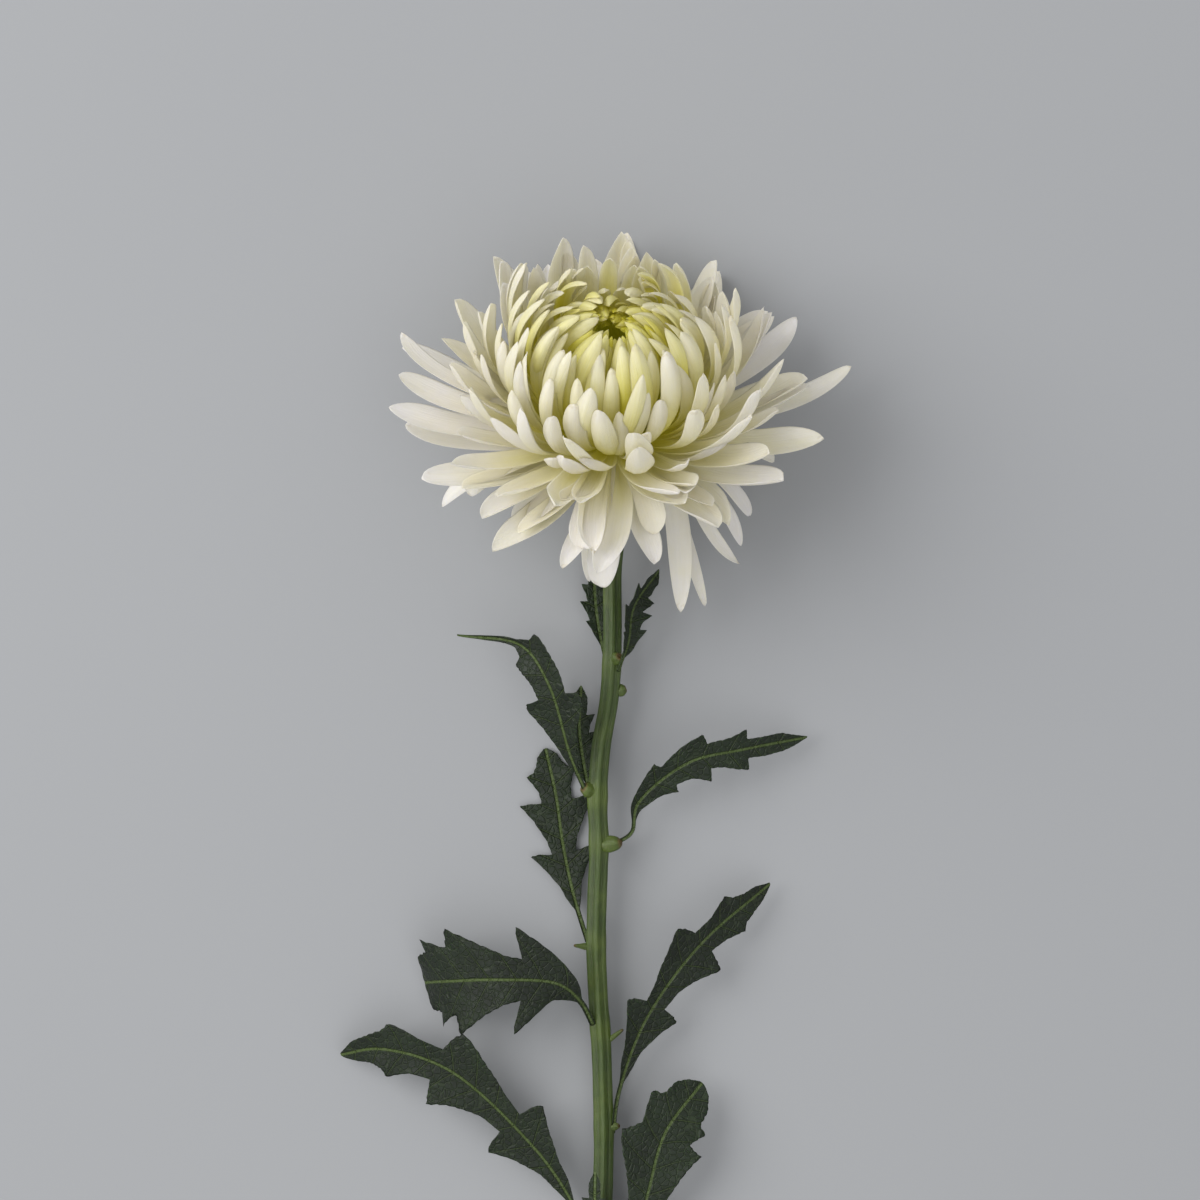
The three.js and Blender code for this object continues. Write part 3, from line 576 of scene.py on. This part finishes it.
def stray_skin(strays, thickness):
    """Florets that hang, hook or reach past the rule, each on a cubic through its root, two guide
    points and its tip, with the blade's inner face turned to the bloom's axis."""
    near, far, end = (BLOOM + np.array([stray[k] for stray in strays], float) for k in range(3))
    width = np.array([stray[3] for stray in strays], float)
    out = near - BLOOM
    out = unit(out - (out @ AXIS)[:, None] * AXIS)
    root = BLOOM + out * STRAY_ROOT + AXIS * STRAY_LIFT
    s = toward_tip(26)
    t = s[None, :, None]
    root, near, far, end = (p[:, None] for p in (root, near, far, end))
    point = root * (1 - t) ** 3 + 3 * near * t * (1 - t) ** 2 + 3 * far * t**2 * (1 - t) + end * t**3
    tangent = unit((near - root) * (1 - t) ** 2 + 2 * (far - near) * t * (1 - t) + (end - far) * t**2)
    inner = unit(AXIS - (tangent @ AXIS)[..., None] * tangent)
    side = np.cross(tangent, inner)
    length = np.linalg.norm(np.diff(point, axis=1), axis=2).sum(axis=1)
    seed = np.arange(len(strays)) + 300
    green = np.broadcast_to(0.3 * (1 - s[None]) ** 2, (len(strays), len(s)))
    return blade_skin(s, (point, side, inner), width, length, STRAY_CUP, thickness, seed, green)


RECEPTACLE = [(0, -1), (6.4, -1), (9.4, 1.2), (13, 3.4), (13.5, 6), (11.5, 7.7), (0, 7.8)]
PETAL_WHITE = rgb(232, 227, 219)
PETAL_CREAM = rgb(225, 218, 176)
PETAL_LIME = rgb(216, 207, 60)
PETAL_GREEN = rgb(178, 176, 28)
PETAL_BROWN = rgb(196, 178, 140)
PETAL_GLOW = 0.05
FLORET_THICKNESS = 0.5
FILL_THICKNESS = 0.4


def petal_material(name, glow):
    """White tissue with fine lengthwise veins, yellower and then greener by the tint's first value,
    and browned in specks at the very tip. It gives off a little of its own colour, in place of the
    light that comes through a thin petal."""
    material, shade, shader = new_material(name)
    greenness, up_blade, chance = attribute(shade)
    wrapped = shade.node("ShaderNodeUVMap")
    veins = shade.noise(shade.stretch(wrapped, (2.6, 0.05, 1)), 1.0, 4, 0.6)
    threads = shade.noise(shade.stretch(wrapped, (9.0, 0.12, 1)), 1.0, 2, 0.5)
    cloud = shade.noise(object_place(shade), 0.12, 3)
    warmth = (chance * 0.5 + (cloud - 0.5) * 0.8 + veins * 0.35 - 0.15).clamp()
    colour = warmth.mix(PETAL_WHITE, PETAL_CREAM)
    lime = (greenness + (veins - 0.5) * 0.35 * greenness).clamp()
    colour = lime.step(0.0, 0.7).mix(colour, PETAL_LIME)
    colour = lime.step(0.6, 1.1).mix(colour, PETAL_GREEN)
    patch = shade.noise(object_place(shade), 0.5, 2).step(0.5, 0.7)
    bruise = (up_blade.step(0.93, 1.0) * patch * 0.5).clamp()
    colour = bruise.mix(colour, PETAL_BROWN)
    feed(shade, shader, Base_Color=colour, Emission_Color=colour, Roughness=veins * 0.2 + 0.42,
         Normal=bump(shade, veins + threads * 0.5, 0.00022, 0.8))
    shader.inputs["Subsurface Weight"].default_value = glow
    shader.inputs["Subsurface Radius"].default_value = (1.0, 0.95, 0.6)
    shader.inputs["Subsurface Scale"].default_value = 0.005
    shader.inputs["Emission Strength"].default_value = PETAL_GLOW
    return material


def outer_green(t, s):
    """How green an outer floret is: most at its foot, and more in the inner ones."""
    return (0.9 - 0.4 * t) * (1 - s) ** 1.2 + 0.34 * (1 - t) ** 2


white_petal = petal_material("white_petal", 0.5)

outer_skins = [
    turned_skin(RECEPTACLE),
    family_skin(OUTER, FLORET_THICKNESS, outer_green),
    family_skin(OUTER_FILL, FILL_THICKNESS, outer_green),
    stray_skin(STRAYS, FLORET_THICKNESS),
]
piece("outer_ray_florets", outer_skins, white_petal, "petal_white", "outer_florets")

# The inner florets
# Shorter yellow-green florets that arch inward from all sides and close over the heart in a bun,
# greener and smaller towards the middle.

INNER = dict(
    count=78, seed=500,
    start=(84, 80, 74, 67, 60), end=(125, 156, 178, 186, 176), bend=(1.6, 2, 2.2, 2.3, 2.3),
    length=(13, 19, 27, 36, 45), width=(2.4, 3.2, 4, 4.8, 5.6), radius=(8, 9, 9.6, 9.8, 9.4),
    height=(26.5, 22.5, 18.5, 14, 9.6), cup=0.28, crowd=0, droop=(0, 0), trim=(0, 0), swirl=16,
    jitter=dict(azimuth=7, start=3, end=12, length=0.07, width=0.12, drift=10, twist=18),
)
# Finer florets between those, which stand up with free tips.
INNER_FILL = dict(
    INNER, count=150, seed=2500, end=(112, 136, 158, 168, 162), length=(12, 17, 24, 32, 39),
    width=(1.8, 2.3, 2.8, 3.3, 3.8), swirl=20,
)
INNER_CORE = [
    (0, 8.15), (9.3, 8.15), (11.4, 12), (11.8, 20), (10.6, 26), (8.4, 29), (6.9, 27.5), (6.9, 20), (0, 20),
]


def inner_green(t, s):
    """How green an inner floret is: more towards the heart and at its foot, less at its tip."""
    return 0.6 + 0.35 * (1 - t) + 0.3 * (1 - s) ** 2 - 0.3 * s * t


def fill_green(t, s):
    return inner_green(t, s) + 0.15


cream_petal = petal_material("cream_petal", 0.45)
inner_skins = [
    turned_skin(INNER_CORE),
    family_skin(INNER, FLORET_THICKNESS, inner_green),
    family_skin(INNER_FILL, FILL_THICKNESS, fill_green),
]
piece("inner_ray_florets", inner_skins, cream_petal, "petal_cream", "inner_florets")

# The heart
# The youngest florets, still green and unopened, packed as a tuft of little curved quills on a dome
# at the bottom of the swirl.

HEART_CORE = [(0, 20.35), (6.3, 20.35), (6.4, 24), (5, 27), (2.5, 28.6), (0, 29)]
HEART_REACH = 6.2


def heart_skin(count=46, seed=1300):
    """The quills: in a golden-angle spiral at the square root of the share of the count from the
    middle, steep there and leaning inward by as much as 40 degrees more at the rim."""
    i = np.arange(count)
    share = np.sqrt((i + 0.5) / count)
    one = np.ones(count)
    s = np.linspace(0, 0.99, 12)
    foot = 27.5 - 4 * share**2
    n = i + seed
    start, end = np.radians(88 - 10 * share), np.radians(110 + 40 * share)
    length, drift, twist = 5.5 + 0.8 * draw(n, 1), 0.2 * draw(n, 2), 0.3 * draw(n, 3)
    path = rule_paths(
        s, np.radians(i * GOLDEN_ANGLE), start, end, 1.5 * one,
        length, (HEART_REACH - 0.6) * share, foot, drift, twist,
    )
    green = np.clip(1.25 - 0.35 * share[:, None] * s[None], 0, 1.3)
    return blade_skin(s, path, 1.7 * one, 6 * one, 0.3, 0.5, n, green, 0.0, 0.05)


quill, shade, shader = new_material("green_quill")
_, up_blade, chance = attribute(shade)
mottle = shade.noise(object_place(shade), 0.8, 3)
colour = up_blade.step(0.3, 1.0).mix(rgb(52, 72, 22), rgb(150, 160, 60))
colour = (chance * 0.4 + (mottle - 0.5) * 0.5).clamp().mix(colour, rgb(186, 186, 92))
feed(shade, shader, Base_Color=colour, Roughness=mottle * 0.2 + 0.4, Normal=bump(shade, mottle, 0.0002))
shader.inputs["Subsurface Weight"].default_value = 0.15
shader.inputs["Subsurface Scale"].default_value = 0.001

piece("heart_quills", [turned_skin(HEART_CORE), heart_skin()], quill, "heart_green", "heart_florets")

# The leaves
# Eleven dark, lobed leaves with a pale midrib and faint side veins. Each springs from the stem on a
# short stalk, and its blade bends along its own midrib.

MARGINS = {
    "lobed": [
        (0, 0.07), (0.17, 0.07), (0.22, 0.22), (0.27, 0.3), (0.33, 0.6), (0.37, 0.94), (0.4, 0.7),
        (0.43, 0.34), (0.49, 0.42), (0.56, 0.72), (0.61, 1.05), (0.64, 0.82), (0.68, 0.42), (0.74, 0.46),
        (0.8, 0.7), (0.83, 0.5), (0.88, 0.36), (0.93, 0.28), (1, 0.03),
    ],
    "slim": [
        (0, 0.08), (0.14, 0.08), (0.2, 0.3), (0.27, 0.5), (0.33, 0.8), (0.36, 0.5), (0.42, 0.66),
        (0.5, 1.04), (0.54, 0.54), (0.6, 0.6), (0.68, 0.88), (0.71, 0.4), (0.78, 0.42), (0.86, 0.4),
        (0.93, 0.22), (1, 0.03),
    ],
    "broad": [
        (0, 0.06), (0.14, 0.06), (0.18, 0.2), (0.23, 0.34), (0.28, 0.66), (0.34, 1.04), (0.37, 0.78),
        (0.4, 0.4), (0.46, 0.46), (0.54, 0.7), (0.62, 1.04), (0.66, 0.82), (0.7, 0.64), (0.77, 0.86),
        (0.81, 0.6), (0.88, 0.54), (0.94, 0.34), (1, 0.03),
    ],
    "tailed": [
        (0, 0.08), (0.12, 0.08), (0.2, 0.3), (0.28, 0.58), (0.34, 1), (0.38, 0.96), (0.42, 0.5),
        (0.5, 0.56), (0.58, 0.62), (0.63, 0.66), (0.66, 0.34), (0.72, 0.14), (0.86, 0.09), (1, 0.03),
    ],
}
VEIN_ANGLE = np.radians(56)

# Each leaf: its midrib from the stem out, its greatest width, its margin, the roll of its face from the
# upward in degrees, and how far its margins rise.
LEAVES = {
    "leaf_1": (
        [(5.2, -20.5, 12.5), (8, -12, 16.0), (9.6, -2, 17.0), (16.8, 8.6, 13.5)],
        14, "slim", 48, 0.3,
    ),
    "leaf_2": (
        [(1.4, -17, 7.8), (-0.4, -8, 5.8), (-1.4, 0, 5.0), (-2, 12, 5.4)],
        10, "slim", 8, 0.1,
    ),
    "leaf_3": (
        [(-3.4, -56, 11.0), (-8.4, -44, 16.0), (-14.4, -24, 21.0), (-22, -13, 19.0), (-40.6, -10, 10.0)],
        21, "tailed", -28, 0.12,
    ),
    "leaf_4": (
        [(-2.6, -57, 7.4), (-4.6, -47, 5.2), (-5.9, -37, 4.6), (-5.4, -24.4, 4.4)],
        12, "slim", 0, 0.1,
    ),
    "leaf_5": (
        [(-3.4, -97.6, 7.1), (-7.6, -84, 3.5), (-10.6, -70, 1.7), (-12.6, -56, 1.3), (-15.6, -42.4, 1.1)],
        24, "lobed", 0, 0.02,
    ),
    "leaf_6": (
        [(3.6, -69.6, 10.2), (9, -66, 11.2), (10.6, -58, 12.8), (25, -46, 16.2), (40, -42.4, 14.2),
         (59, -39, 7.2)],
        17, "slim", 24, 0.1,
    ),
    "leaf_7": (
        [(-1.8, -121, 9.4), (-5.4, -114, 13.0), (-12, -108.4, 18.0), (-28, -107, 21.0), (-44, -108, 14.0),
         (-50, -109, 5.0)],
        35, "broad", -6, 0.06,
    ),
    "leaf_8": (
        [(3.6, -152, 7.7), (5.6, -139, 9.5), (13, -119, 12.9), (28, -98, 14.5), (48.4, -80.6, 7.5)],
        22, "lobed", 26, 0.1,
    ),
    "leaf_9": (
        [(-0.6, -188, 6.7), (-9.8, -168, 9.1), (-20, -154, 11.6), (-43, -133, 14.1), (-62, -127.4, 11.1),
         (-74, -129.6, 4.1)],
        27, "lobed", -14, 0.08,
    ),
    "leaf_10": (
        [(2.4, -205, 6.6), (8.6, -187, 10.0), (13.6, -168, 13.2), (18.4, -151, 14.4), (29, -137, 10.4)],
        28, "broad", 12, 0.1,
    ),
    "leaf_11": (
        [(0.2, -190, 9.1), (-0.4, -182, 13.1), (-1.4, -172, 16.1), (-1.4, -161.6, 16.1)],
        10, "slim", -20, 0.1,
    ),
}


def leaf_skin(seed, rib, width, margin, roll, rise, along=110, thickness=0.42):
    """A leaf blade: at s along the midrib and x across, the midrib's point a little further on, by
    how far side veins lean forward, plus sideways x times the half width that the margin's list gives
    at s, with fine teeth, and raised at the rims, plus or minus half the thickness."""
    centre, tangent, length = smooth_curve(rib, 400)
    side = unit(np.cross(tangent, UP))
    face = np.cross(side, tangent)
    turn = np.radians(roll)
    side, face = (
        side * np.cos(turn) + np.cross(tangent, side) * np.sin(turn),
        face * np.cos(turn) + np.cross(tangent, face) * np.sin(turn),
    )
    s = np.linspace(0, 1, along)
    places, shares = np.array(MARGINS[margin]).T
    half = np.interp(s, places, shares) * width / 2
    x = RING_X[None, :]
    out = np.abs(x)
    teeth = 1 + 0.05 * np.abs(np.sin(30 * np.pi * s * length / 60))[:, None] * (half > 1.2)[:, None]
    reach = half[:, None] * x * teeth
    ahead = np.clip(s[:, None] + np.abs(reach) * np.cos(VEIN_ANGLE) * (1 - rise) / length, 0, 1)
    k = ahead * 399
    low = np.minimum(k.astype(int), 398)
    part = (k - low)[..., None]

    def read(values):
        return values[low] * (1 - part) + values[low + 1] * part

    ripple = 0.35 * np.sin(2 * np.pi * 7 * s + seed)[:, None] * out**2 * np.minimum(half / 5, 1)[:, None]
    keel = -0.5 * np.exp(-((np.abs(reach) / 0.9) ** 2)) * RING_HAND[None, :] * (RING_HAND[None, :] > 0)
    body = RING_HAND[None, :] * thickness / 2 * (1 - 0.6 * out**2)
    ridge = -0.9 * (RING_HAND[None, :] < 0) * np.exp(-((np.abs(reach) / 0.8) ** 2)) * (1 - 0.8 * s[:, None])
    lift = out**2 * half[:, None] * rise + ripple + body + 0.5 * keel + ridge
    rings = read(centre) + read(side) * (reach * np.sin(VEIN_ANGLE))[..., None] + read(face) * lift[..., None]
    rings[..., 2] = np.maximum(rings[..., 2], 0.02)
    uv = np.stack(np.broadcast_arrays(reach, s[:, None] * length), axis=-1)
    upper = (RING_HAND[None, :] + 1) / 2
    tint = np.stack(np.broadcast_arrays(upper, s[:, None], 0 * x + (draw(seed, 3) + 1) / 2), axis=-1)
    return rings[None], uv[None], tint[None]


LEAF_DARK = rgb(15, 23, 14)
LEAF_GREEN = rgb(30, 42, 26)
LEAF_VEIN = rgb(92, 110, 56)
LEAF_UNDER = rgb(66, 80, 50)

leaf_green, shade, shader = new_material("leaf_blade")
upper, _, chance = attribute(shade)
wrapped = shade.node("ShaderNodeUVMap")
across, run_along, _ = shade.split(wrapped)
off_rib = across.math("ABSOLUTE", across)
midrib = 1 - off_rib.step(0.25, 0.75)
pitch = run_along * 0.13
side_vein = 1 - pitch.math("PINGPONG", pitch, 0.5).step(0.012, 0.05)
side_vein = side_vein * (1 - off_rib.step(4.0, 12.0) * 0.6)
cells = {"Vector": object_place(shade), "Scale": 0.55}
net = shade.node("ShaderNodeTexVoronoi", {"feature": "DISTANCE_TO_EDGE"}, cells)
net_vein = 1 - net.step(0.02, 0.14)
mottle = shade.noise(object_place(shade), 0.16, 5, 0.6)
fine = shade.noise(object_place(shade), 1.5, 4, 0.6)
colour = (mottle * 0.7 + fine * 0.3 + chance * 0.2).step(0.35, 0.85).mix(LEAF_DARK, LEAF_GREEN)
colour = (net_vein * 0.06).mix(colour, LEAF_VEIN)
colour = (side_vein * 0.18).mix(colour, LEAF_VEIN)
colour = (midrib * 0.55).mix(colour, LEAF_VEIN)
colour = ((1 - upper) * 0.7).mix(colour, LEAF_UNDER)
relief = fine * 0.25 - net_vein * 0.35 - side_vein * 0.8 - midrib * 0.6
feed(shade, shader, Base_Color=colour, Roughness=fine * 0.25 + 0.36, Normal=bump(shade, relief, 0.0006))
shader.inputs["Subsurface Weight"].default_value = 0.08
shader.inputs["Subsurface Radius"].default_value = (0.6, 1.0, 0.3)
shader.inputs["Subsurface Scale"].default_value = 0.001
shader.inputs["Specular IOR Level"].default_value = 0.32

for number, (name, shape) in enumerate(LEAVES.items()):
    piece(f"{name}_blade", [leaf_skin(number, *shape)], leaf_green, "leaf_green", name)

# The surface
# A plain grey top for the flower to lie on.

FLOOR_REACH = 6

floor_corners = [(x * FLOOR_REACH, y * FLOOR_REACH, 0) for x, y in ((-1, -1), (1, -1), (1, 1), (-1, 1))]
floor_mesh = bpy.data.meshes.new("surface_top")
floor_mesh.from_pydata(floor_corners, [], [(0, 1, 2, 3)])
floor = bpy.data.objects.new("surface_top", floor_mesh)
bpy.context.scene.collection.objects.link(floor)
plain, shade, shader = new_material("plain_grey")
drift_of_tone = shade.noise(object_place(shade), 0.002, 2)
feed(shade, shader, Base_Color=drift_of_tone.mix(rgb(150, 152, 156), rgb(156, 158, 161)))
shader.inputs["Roughness"].default_value = 0.9
floor_mesh.materials.append(plain)

# The light and the camera
# One large soft light on the left, a weak fill from above, and a grey room. The camera looks straight
# down from well above, so that the flower fills the view as it does in the photograph.


def area_light(name, place, size, power, colour):
    lamp = bpy.data.lights.new(name, "AREA")
    lamp.shape = "DISK"
    lamp.size = size
    lamp.energy = power
    lamp.color = colour
    held = bpy.data.objects.new(name, lamp)
    held.location = place
    held.rotation_euler = (Vector((0, 0.06, 0)) - Vector(place)).to_track_quat("-Z", "Y").to_euler()
    bpy.context.scene.collection.objects.link(held)


area_light("window_left", (-1.4, 0.6, 1.5), 2.0, 41, (1.0, 0.99, 0.97))
area_light("fill_above", (0.4, -0.9, 2.6), 2.6, 14, (1.0, 1.0, 1.0))

room = bpy.data.worlds.new("grey_room")
room.use_nodes = True
room.node_tree.nodes["Background"].inputs["Color"].default_value = (0.85, 0.85, 0.85, 1)
room.node_tree.nodes["Background"].inputs["Strength"].default_value = 0.7
bpy.context.scene.world = room
bpy.context.scene.view_settings.view_transform = "Standard"

CAMERA_HEIGHT = 1.4
# The view is this wide at this height above the surface.
PHOTO_SPAN = 0.336
PHOTO_LEVEL = 0.03

lens = bpy.data.cameras.new("camera")
lens.sensor_width = 36
lens.lens = 36 * CAMERA_HEIGHT / PHOTO_SPAN
camera = bpy.data.objects.new("camera", lens)
camera.location = (*(-FOOTPRINT_CENTRE[:2] / 1000), CAMERA_HEIGHT + PHOTO_LEVEL)
bpy.context.scene.collection.objects.link(camera)
bpy.context.scene.camera = camera
